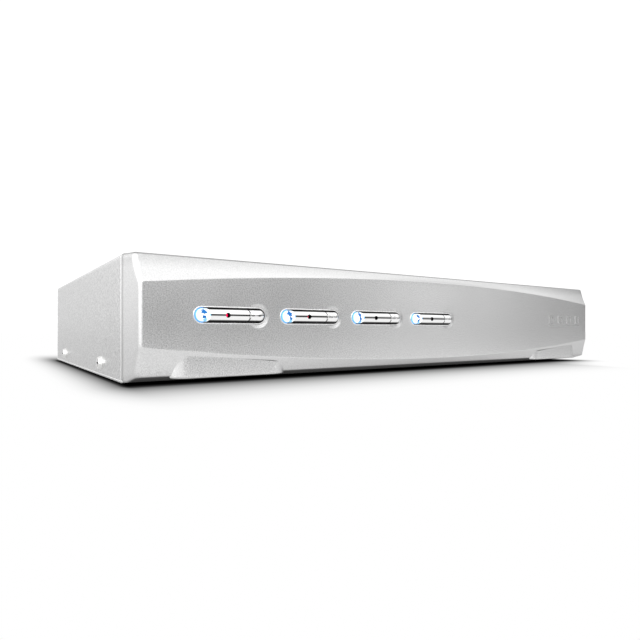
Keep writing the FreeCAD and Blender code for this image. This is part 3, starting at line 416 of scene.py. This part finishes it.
def glow(name, colour, strength):
    """The dome of a lit lamp."""
    recipe = Recipe(name, Roughness=0.3)
    dimmer = tuple(channel * 0.9 for channel in colour)
    tone = recipe.ramp(recipe.noise(500.0), [(0.3, dimmer), (0.7, colour)])
    recipe.feed(tone, "Base Color")
    recipe.feed(tone, "Emission Color")
    recipe.shader.inputs["Emission Strength"].default_value = strength
    return recipe.material


LENS_BLOBS = (                           # place and radius in lens radii, and colour, of each blue facet
    ((0.30, -0.70), 0.42, SKY_BLUE),
    ((1.05, 0.0), 0.24, SKY_BLUE),
    ((0.05, 0.46), 0.50, DEEP_BLUE),
    ((0.20, -0.30), 0.36, DEEP_BLUE),
)


def lit_lens(name):
    """Clear acrylic over a lamp: white-hot in the middle, blue at its rim and in a few facets."""
    recipe = Recipe(name, Roughness=0.12, Specular_IOR_Level=0.2)
    across, up = around_each(recipe, LENS_X)
    from_middle = distance_from(recipe, recipe.math("MINIMUM", across, 0.0), up)
    tone = recipe.ramp(from_middle, [(0.87, WHITE), (0.94, PALE_BLUE), (1.0, SKY_BLUE)])
    cells = recipe.add("ShaderNodeTexVoronoi")
    cells.inputs["Scale"].default_value = 1 / LENS_CELL
    recipe.link(recipe.place, cells.inputs["Vector"])
    ragged = recipe.span(cells.outputs["Distance"], -0.12, 0.12, 0.2, 0.7)
    for centre, radius, colour in LENS_BLOBS:
        reach = recipe.math("ADD", distance_from(recipe, across, up, centre), ragged)
        inside = recipe.span(reach, 1.0, 0.0, radius * 0.7, radius)
        tone = recipe.blend(inside, tone, colour)
    recipe.feed(tone, "Base Color")
    recipe.feed(tone, "Emission Color")
    recipe.shader.inputs["Emission Strength"].default_value = 0.45
    recipe.bump(cells.outputs["Distance"], 0.3, 0.2 * MM)
    return recipe.material


MATERIALS = {
    "case_steel": silver_paint("case_paint", level=0.62, flake_mm=0.55, contrast=0.24,
                               gaps=(0.5, 0.15, 0.6), edges=(1.0, 0.6, 0.6, 0.6)),
    "bezel_paint": silver_paint("bezel_paint", level=0.70, flake_mm=0.42, contrast=0.21,
                                gaps=(1.4, 0.2, 0.8), edges=(2.6, 0.8, 1.0, 0.25), rim_highlight=1.4),
    "rubber": plain_plastic("foot_rubber", (0.02, 0.02, 0.02), 0.7),
    "chrome_plate": chrome("chrome_plating", 0.01, 0.0),
    "clear_lens": lit_lens("lens_clear"),
    "blue_led": glow("led_blue", (0.1, 0.4, 1.0), 3.0),
    "red_led": glow("led_red", LAMP_RED, 1.2),
    "circuit_board": plain_plastic("solder_mask", (0.02, 0.16, 0.06), 0.35),
    "socket_shell": plain_metal("nickel_shell", (0.72, 0.71, 0.68), 0.25),
    "screw_steel": plain_metal("zinc_screw", (0.9, 0.9, 0.89), 0.42, 1.1),
    "nickel_brass": plain_metal("nickel_brass", (0.74, 0.72, 0.64), 0.25),
    "black_plastic": plain_plastic("black_plastic", (0.02, 0.02, 0.02), 0.4),
    "chip_plastic": plain_plastic("chip_epoxy", (0.03, 0.03, 0.032), 0.55),
    "heat_sink_aluminium": plain_metal("anodised", (0.5, 0.51, 0.53), 0.35),
    "capacitor_sleeve": plain_plastic("capacitor_sleeve", (0.03, 0.04, 0.12), 0.3),
    "ferrite": plain_plastic("ferrite", (0.06, 0.06, 0.065), 0.6),
    "crystal_can": plain_metal("crystal_can", (0.75, 0.75, 0.74), 0.2),
    "ribbon_cable": plain_plastic("ribbon_grey", (0.4, 0.41, 0.43), 0.5),
}


def dress_cad_nodes():
    """Give every carried-over node the material of its slot; the keys' plating is more wavy."""
    key_chrome = chrome("chrome_key", 0.14, 0.15)
    for entry in frame["record"]["subparts"]:
        mesh = NODES[entry["node"]].data
        mesh.materials.clear()
        is_key = entry["node"].startswith("select_key")
        mesh.materials.append(key_chrome if is_key else MATERIALS[entry["material_slot"]])


# ---------------------------------------------------------------- pieces that only the looks need

def new_piece(name, shape, material):
    """A piece of the object, made of a finished bmesh."""
    mesh = bpy.data.meshes.new(name)
    shape.to_mesh(mesh)
    shape.free()
    mesh.materials.append(material)
    piece = bpy.data.objects.new(name, mesh)
    bpy.context.scene.collection.objects.link(piece)
    return piece


EDGE_R = 0.6 * MM                        # radius of the sheet's rolled edge
EDGE_PROUD = 0.12 * MM                   # how far it stands out of the panel
ROD_SIDES = 4
CAP_STEPS = (0, 30, 60, 89)              # degrees round the end of a rod


def add_rod(mesh, start, end, radius):
    """A closed rod between two points, with a blunt point at each end."""
    start, end = Vector(start), Vector(end)
    turn = (end - start).to_track_quat("Z", "Y").to_matrix()
    places = [(start, -step) for step in reversed(CAP_STEPS)] + [(end, step) for step in CAP_STEPS]
    rings = []
    for centre, step in places:
        tilt = math.radians(step)
        ring = []
        for index in range(ROD_SIDES):
            angle = 2 * math.pi * index / ROD_SIDES
            across = Vector((math.cos(angle), math.sin(angle), 0.0)) * math.cos(tilt)
            offset = across + Vector((0.0, 0.0, math.sin(tilt)))
            ring.append(mesh.verts.new(centre + turn @ (offset * radius)))
        rings.append(ring)
    for lower, upper in zip(rings, rings[1:]):
        add_wall(mesh, lower, upper)
    mesh.faces.new(reversed(rings[0]))
    mesh.faces.new(rings[-1])


def sheet_edges():
    """The rolled edges of the steel cover, lighter than the cover as a painted highlight: a bead down the
    front and back of each side, and below it.
    """
    mesh = bmesh.new()
    inset = EDGE_R - EDGE_PROUD
    front, back = cover_low.y + EDGE_R / 2, cover_high.y - EDGE_R
    low, high = cover_low.z + EDGE_R, cover_high.z - BEND_R
    for x in (cover_low.x + inset, cover_high.x - inset):
        corners = [(x, front, low), (x, front, high), (x, back, high), (x, back, low)]
        add_rod(mesh, corners[0], corners[1], EDGE_R)
        add_rod(mesh, corners[2], corners[3], EDGE_R)
        add_rod(mesh, corners[3], corners[0], EDGE_R)
    # painted highlight: the cover's lacquer, much lighter
    paint = silver_paint("edge_highlight_paint", level=0.92, flake_mm=0.6, contrast=0.03,
                         gaps=(0.4, 0.1, 0.4), edges=(0.05, 0.05, 0.05, 0.05))
    piece = new_piece("cover_rolled_edge_highlights", mesh, paint)
    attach(piece, "housing")


VIDEO_SOCKETS = [f"pc_video_socket_{number}" for number in (1, 2, 3, 4)] + ["console_video_socket"]
PANEL_T = 1.0 * MM                       # rear panel, with the sockets' flanges against its inside
FLANGE_T = 0.8 * MM
BODY_HALF_HIGH = 4.2 * MM
SHELL_TOP = 8.3 * MM                     # half the width of the D at its top
SHELL_LOW = 7.1 * MM                     # and at its foot
SHELL_HALF_HIGH = 4.1 * MM
SHELL_T = 0.45 * MM
CORNER_R = 1.6 * MM
CORNER_STEPS = 6
INSERT_SUNK = 0.9 * MM                   # how far the moulded block lies inside the shell's mouth
CONTACT_PITCH = 2.3 * MM
CONTACT_ROW = 1.95 * MM                  # from row to row
CONTACT_R = 0.5 * MM
CONTACT_DEEP = 2.5 * MM
CONTACT_SIDES = 10


def d_outline(inset=0.0):
    """The D of a 15-pin socket as (x, z) places round its middle, with softened corners."""
    top, foot = SHELL_HALF_HIGH - inset, inset - SHELL_HALF_HIGH
    wide, narrow = SHELL_TOP - inset, SHELL_LOW - inset
    corners = [Vector(place) for place in ((wide, top), (-wide, top), (-narrow, foot), (narrow, foot))]
    outline = []
    for index, corner in enumerate(corners):
        before, after = corners[index - 1], corners[(index + 1) % 4]
        first = corner + (before - corner).normalized() * CORNER_R
        last = corner + (after - corner).normalized() * CORNER_R
        for step in range(CORNER_STEPS + 1):
            share = step / CORNER_STEPS
            ends = first * (1 - share) ** 2 + last * share ** 2
            outline.append(ends + corner * 2 * share * (1 - share))
    return outline


def add_ring(mesh, outline, middle, y):
    """A ring of vertices at depth y, its outline placed round the middle."""
    return [mesh.verts.new((middle[0] + place[0], y, middle[1] + place[1])) for place in outline]


def add_wall(mesh, ring, other):
    """The faces between two rings of the same number of vertices."""
    count = len(ring)
    for index in range(count):
        following = (index + 1) % count
        mesh.faces.new((ring[index], ring[following], other[following], other[index]))


def add_box(mesh, low, high):
    """A box between two corners."""
    made = bmesh.ops.create_cube(mesh, size=1.0)["verts"]
    for vertex in made:
        vertex.co = [a + (b - a) * (along + 0.5) for a, b, along in zip(low, high, vertex.co)]


def video_socket(name):
    """One 15-pin socket: its moulded body, its flange and an open D-shaped shell.

    Gives back the (x, z) middle of the shell and the depths of its root and of its mouth.
    """
    low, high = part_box(name)
    middle = ((low.x + high.x) / 2, (low.z + high.z) / 2)
    flange_y = BACK_Y - PANEL_T
    mesh = bmesh.new()
    add_box(mesh, (low.x, low.y, low.z), (high.x, flange_y - FLANGE_T, middle[1] + BODY_HALF_HIGH))
    add_box(mesh, (low.x, flange_y - FLANGE_T, low.z), (high.x, flange_y, high.z))
    rings = []
    for inset, y in ((0.0, flange_y), (0.0, high.y), (SHELL_T, high.y), (SHELL_T, flange_y)):
        rings.append(add_ring(mesh, d_outline(inset), middle, y))
    for ring, other in zip(rings, rings[1:] + rings[:1]):
        add_wall(mesh, ring, other)
    bmesh.ops.recalc_face_normals(mesh, faces=mesh.faces)
    piece = new_piece(name + "_shell", mesh, MATERIALS["socket_shell"])
    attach(piece, "housing")
    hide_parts(name)
    return middle, flange_y, high.y


def contact_places():
    """Three rows of five, the middle row half a pitch to one side of the others."""
    places = []
    for row in (1, 0, -1):
        aside = 0.25 if row == 0 else -0.25
        places += [((column + aside) * CONTACT_PITCH, row * CONTACT_ROW) for column in range(-2, 3)]
    return places


def circle_outline(radius, sides):
    angles = [2 * math.pi * index / sides for index in range(sides)]
    return [(radius * math.cos(angle), radius * math.sin(angle)) for angle in angles]


def add_insert(mesh, middle, back_y, front_y):
    """The moulded block in a shell, with a blind hole for each contact."""
    outline = add_ring(mesh, d_outline(SHELL_T), middle, front_y)
    behind = add_ring(mesh, d_outline(SHELL_T), middle, back_y)
    add_wall(mesh, outline, behind)
    mesh.faces.new(behind)
    circle = circle_outline(CONTACT_R, CONTACT_SIDES)
    borders = [outline]
    for x, z in contact_places():
        mouth = add_ring(mesh, circle, (middle[0] + x, middle[1] + z), front_y)
        floor = add_ring(mesh, circle, (middle[0] + x, middle[1] + z), front_y - CONTACT_DEEP)
        add_wall(mesh, mouth, floor)
        mesh.faces.new(floor)
        borders.append(mouth)
    edges = []
    for ring in borders:
        edges += [mesh.edges.get((ring[index - 1], ring[index])) for index in range(len(ring))]
    bmesh.ops.triangle_fill(mesh, use_beauty=True, edges=edges)


def video_sockets():
    """The five 15-pin sockets, with the blue moulded blocks of all of them as one piece."""
    mesh = bmesh.new()
    for name in VIDEO_SOCKETS:
        middle, flange_y, mouth_y = video_socket(name)
        add_insert(mesh, middle, flange_y, mouth_y - INSERT_SUNK)
    bmesh.ops.recalc_face_normals(mesh, faces=mesh.faces)
    piece = new_piece("video_socket_inserts", mesh, plain_plastic("video_insert", (0.01, 0.03, 0.16), 0.4))
    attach(piece, "housing")


# ---------------------------------------------------------------- floor

FLOOR_REACH = 6.0                        # half the floor's side, far past every view
SHADE_WIDE = 66 * MM                     # width of the contact shadow before the case
SHADE_START = 10 * MM                    # how far inside the outline it is fully dark
SIDE_NARROWING = 3.2                     # how much narrower it is at the ends
BACK_WIDENING = 1.8                      # how much wider it is behind
RIGHT_START = 4.5                        # how much farther inside the outline it starts at the right end
RIGHT_SHARE = 0.3                        # how much of its width before the case is left at the right end
RIGHT_FROM, RIGHT_TO = 88 * MM, 125 * MM     # where that narrowing begins and ends
SHADE_TONES = (                          # its tone, by the share of its width
    (0.0, 0.0), (0.06, 0.01), (0.11, 0.06), (0.15, 0.19), (0.2, 0.28), (0.26, 0.38),
    (0.35, 0.53), (0.45, 0.67), (0.59, 0.83), (0.73, 0.93), (0.86, 0.985), (1.0, 1.0),
)
UNDER_START = 4.5 * MM                   # where the floor under the case stops giving back light
UNDER_WIDE = 3 * MM                      # and over what width
UNDER_LIGHT = 0.06                       # what is left of it there
BOUNCE_SIDE = 0.70                       # light given back by the floor beside the case,
BOUNCE_NEAR = 0.95                       # just before it,
BOUNCE_FAR = 0.22                        # and far before it
BOUNCE_REACH = 300 * MM
BOUNCE_RIGHT = 0.8                       # how much of it is left past the right end


def beyond(recipe, coordinate, edge, sign, wide):
    """How far the coordinate is past an edge, in units of the width."""
    offset = recipe.product(recipe.math("SUBTRACT", coordinate, edge), sign / wide)
    return recipe.largest(offset, 0.0)


def past_outline(recipe, x, y, wide, narrowing, widening, start):
    """Distance outside the case's outline: 1 at the given width in front, less beside, more behind."""
    side_wide, side_start = wide / narrowing, start / narrowing
    across = recipe.math("ADD", beyond(recipe, x, CAD_BOX[0].x + side_start, -1, side_wide),
                         beyond(recipe, x, END_X - side_start * RIGHT_START, 1, side_wide))
    narrow = recipe.span(x, 1.0, 1 / RIGHT_SHARE, RIGHT_FROM, RIGHT_TO)
    before = recipe.product(beyond(recipe, y, FACE_Y, -1, wide), narrow)
    under_lip = recipe.math("MINIMUM", recipe.math("SUBTRACT", FACE_Y + start, y), start)
    inside = recipe.math("DIVIDE", under_lip, wide)
    front = recipe.math("ADD", before, recipe.largest(inside, 0.0))
    along = recipe.math("ADD", front, beyond(recipe, y, BACK_Y - side_start, 1, wide * widening))
    return distance_from(recipe, across, along)


def contact_shade(recipe, x, y):
    """1 on the open floor, falling to 0 under the case, with the shadow's long side to the front."""
    distance = past_outline(recipe, x, y, SHADE_WIDE, SIDE_NARROWING, BACK_WIDENING, SHADE_START)
    return recipe.ramp(distance, [(place, grey(tone)) for place, tone in SHADE_TONES])


def bounced_light(recipe, x, y):
    """What the floor gives back to the case: less beside and far before it, next to none under it."""
    distance = beyond(recipe, y, FACE_Y, -1, BOUNCE_REACH)
    tones = [(0.0, BOUNCE_SIDE), (0.02, BOUNCE_NEAR), (0.15, BOUNCE_NEAR), (1.0, BOUNCE_FAR)]
    light = recipe.ramp(distance, [(place, grey(tone)) for place, tone in tones])
    past_right = beyond(recipe, x, END_X / 2, 1, END_X / 2)
    rightwards = recipe.span(past_right, 1.0, BOUNCE_RIGHT)
    from_under = past_outline(recipe, x, y, UNDER_WIDE, 1.0, 1.0, UNDER_START)
    open_floor = recipe.span(from_under, UNDER_LIGHT, 1.0)
    return recipe.tinted(light, recipe.product(rightwards, open_floor))


def stage_floor():
    """A white sweep, with a painted contact shadow only where the case almost touches it."""
    mesh = bpy.data.meshes.new("floor")
    ring = ((-1, -1), (1, -1), (1, 1), (-1, 1))
    mesh.from_pydata([(x * FLOOR_REACH, y * FLOOR_REACH, FLOOR_Z) for x, y in ring], [], [(0, 1, 2, 3)])
    floor = bpy.data.objects.new("floor", mesh)
    bpy.context.scene.collection.objects.link(floor)
    recipe = Recipe("floor_white")
    # painted shadow: what the camera sees of the floor
    seen = recipe.add("ShaderNodeEmission")
    recipe.link(contact_shade(recipe, recipe.x, recipe.y), seen.inputs["Color"])
    bounced = recipe.add("ShaderNodeEmission")
    recipe.link(bounced_light(recipe, recipe.x, recipe.y), bounced.inputs["Color"])
    mix = recipe.add("ShaderNodeMixShader")
    recipe.link(recipe.add("ShaderNodeLightPath").outputs["Is Camera Ray"], mix.inputs["Fac"])
    recipe.link(bounced.outputs[0], mix.inputs[1])
    recipe.link(seen.outputs[0], mix.inputs[2])
    recipe.link(mix.outputs[0], recipe.tree.nodes["Material Output"].inputs["Surface"])
    mesh.materials.append(recipe.material)


# ---------------------------------------------------------------- light and camera

def lamp_direction(degrees, rise=0.0):
    """A direction at that angle from straight ahead of the face, to its right."""
    angle = math.radians(degrees)
    return (math.sin(angle), -math.cos(angle), rise)


DISH_LAMP = ((0.0, 0.0), (0.968, 0.0), (0.985, 0.5), (1.0, 0.8))
LAMPS = (                                # direction, and level by the cosine of the angle to it
    ((0, 0, 1),                          # ceiling over a dim horizon
     ((0.0, 0.03), (0.09, 0.05), (0.14, 0.18), (0.24, 0.42), (0.36, 0.62), (0.6, 0.56), (1.0, 0.5))),
    ((0.35, -0.1, 0.93),                 # brighter part of the ceiling, over the upper slope
     ((0.0, 0.0), (0.6, 0.0), (0.73, 0.25), (0.83, 0.65), (0.91, 0.9), (1.0, 0.9))),
    (lamp_direction(47),                 # sheen of the face, right of its middle
     ((0.0, 0.0), (0.95, 0.0), (0.985, 0.5), (1.0, 1.6))),
    (lamp_direction(-3, 0.42),           # white crescents of the finger dishes
     DISH_LAMP),
    (lamp_direction(20, 0.38),
     DISH_LAMP),
    (lamp_direction(17, 0.5),            # dim one, wider, above those two
     ((0.0, 0.0), (0.86, 0.0), (0.95, 0.2), (1.0, 0.35))),
    (lamp_direction(-50, 0.35),          # bezel's left end, and the round end of the left block
     ((0.0, 0.0), (0.55, 0.0), (0.7, 0.9), (1.0, 2.3))),
    ((-0.62, 0.78, 0),                   # left side of the case
     ((0.0, 0.0), (0.5, 0.2), (0.8, 0.6), (1.0, 1.1))),
)
BACKDROP = (1.1, 1.1, 1.1)


def lamp_level(sky, ray, direction, stops):
    """A level that depends on the angle between a ray and the lamp's direction."""
    dot = sky.add("ShaderNodeVectorMath", operation="DOT_PRODUCT")
    sky.link(ray, dot.inputs[0])
    dot.inputs[1].default_value = Vector(direction).normalized()
    return sky.ramp(dot.outputs["Value"], [(position, grey(level)) for position, level in stops])


def studio_world():
    """The soft lamps that light the case and show in it, behind a white backdrop for the camera."""
    world = bpy.data.worlds.new("studio")
    bpy.context.scene.world = world
    world.use_nodes = True
    sky = NodeTree(world.node_tree)
    ray = sky.add("ShaderNodeTexCoord").outputs["Generated"]
    levels = [lamp_level(sky, ray, direction, stops) for direction, stops in LAMPS]
    total = levels[0]
    for level in levels[1:]:
        both = sky.add("ShaderNodeVectorMath", operation="ADD")
        sky.link(total, both.inputs[0])
        sky.link(level, both.inputs[1])
        total = both.outputs["Vector"]
    by_camera = sky.add("ShaderNodeLightPath").outputs["Is Camera Ray"]
    sky.link(sky.blend(by_camera, total, BACKDROP), world.node_tree.nodes["Background"].inputs["Color"])


CAMERA_PLACE = (LEFT_X - 39.54 * MM, SEAM_Y - 177.57 * MM, STEEL_Z + 17.7 * MM)
CAMERA_TURN = 34.19                      # degrees to the right of straight towards the face
CAMERA_LENS, CAMERA_SENSOR = 28.18, 36.0     # mm
CAMERA_SHIFT = 0.0165


def photo_camera():
    data = bpy.data.cameras.new("camera")
    data.sensor_width = CAMERA_SENSOR
    data.lens = CAMERA_LENS
    data.shift_y = CAMERA_SHIFT
    data.clip_start = 10 * MM
    camera = bpy.data.objects.new("camera", data)
    bpy.context.scene.collection.objects.link(camera)
    camera.location = CAMERA_PLACE
    camera.rotation_euler = (math.radians(90), 0, -math.radians(CAMERA_TURN))
    bpy.context.scene.camera = camera


dress_cad_nodes()
sheet_edges()
video_sockets()
stage_floor()
studio_world()
photo_camera()
bpy.context.scene.view_settings.view_transform = "Standard"
